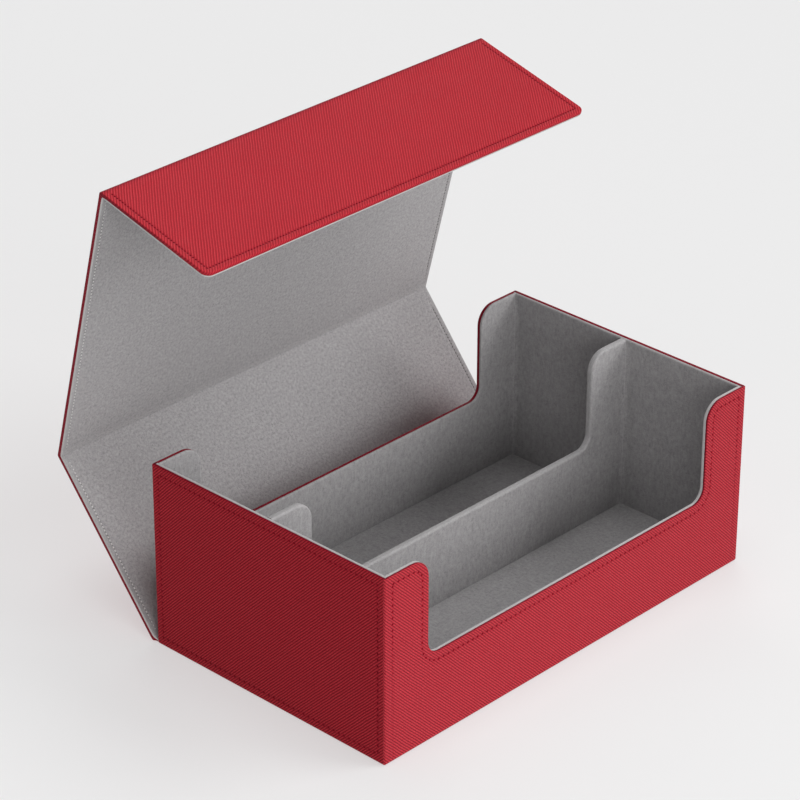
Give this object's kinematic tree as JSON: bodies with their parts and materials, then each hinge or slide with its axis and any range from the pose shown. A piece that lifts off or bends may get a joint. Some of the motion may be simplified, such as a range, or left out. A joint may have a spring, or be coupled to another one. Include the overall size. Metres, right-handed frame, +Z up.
{
  "type": "card deck box",
  "caption": "Two-row card storage box of leather-covered board with finger cuts in its long walls and a fold-over cover hinged at the lower rear edge.",
  "frame": {"origin": "centre of the tray's underside, on the surface the box stands on", "axes": "+X along the long front wall to the right, +Y to the rear where the cover is hinged, +Z up"},
  "size_m": [0.262, 0.223, 0.2353],
  "materials": {
    "red_leather": "ribbed, low sheen",
    "grey_suede": "brushed microfibre",
    "greyboard": "plain board",
    "red_thread": "twisted polyester thread",
    "magnet_steel": "nickel plated"
  },
  "bodies": {
    "tray": {"floor_board": "greyboard", "front_board": "greyboard", "back_board": "greyboard", "left_end_board": "greyboard", "right_end_board": "greyboard", "divider_board": "greyboard", "base_leather": "red_leather", "front_leather": "red_leather", "back_leather": "red_leather", "left_end_leather": "red_leather", "right_end_leather": "red_leather", "floor_lining": "grey_suede", "front_lining": "grey_suede", "back_lining": "grey_suede", "left_end_lining": "grey_suede", "right_end_lining": "grey_suede", "divider_lining": "grey_suede", "front_wall_magnets": "magnet_steel", "front_wall_thread": "red_thread", "back_wall_thread": "red_thread", "left_end_thread": "red_thread", "right_end_thread": "red_thread"},
    "rear_panel": {"rear_panel_board": "greyboard", "rear_panel_leather": "red_leather", "rear_panel_lining": "grey_suede", "rear_panel_thread": "red_thread", "rear_top_fold": "red_leather"},
    "top_panel": {"top_panel_board": "greyboard", "top_panel_leather": "red_leather", "top_panel_lining": "grey_suede", "top_panel_thread": "red_thread", "top_flap_fold": "red_leather"},
    "front_flap": {"flap_board": "greyboard", "flap_leather": "red_leather", "flap_lining": "grey_suede", "flap_magnets": "magnet_steel", "flap_thread": "red_thread"}
  },
  "joints": [
    {"name": "rear_hinge", "type": "hinge", "parent": "tray", "child": "rear_panel", "pos_m": [0, 0.0792, 0.0014], "axis": [1, 0, 0], "range_deg": [-50.4, 39.6]},
    {"name": "top_fold", "type": "hinge", "parent": "rear_panel", "child": "top_panel", "pos_m": [0, 0.14409, 0.07984], "axis": [1, 0, 0], "range_deg": [-53.95, 36.05]},
    {"name": "flap_fold", "type": "hinge", "parent": "top_panel", "child": "front_flap", "pos_m": [0, 0.10468, 0.23388], "axis": [1, 0, 0], "range_deg": [-90.4, 0]}
  ]
}
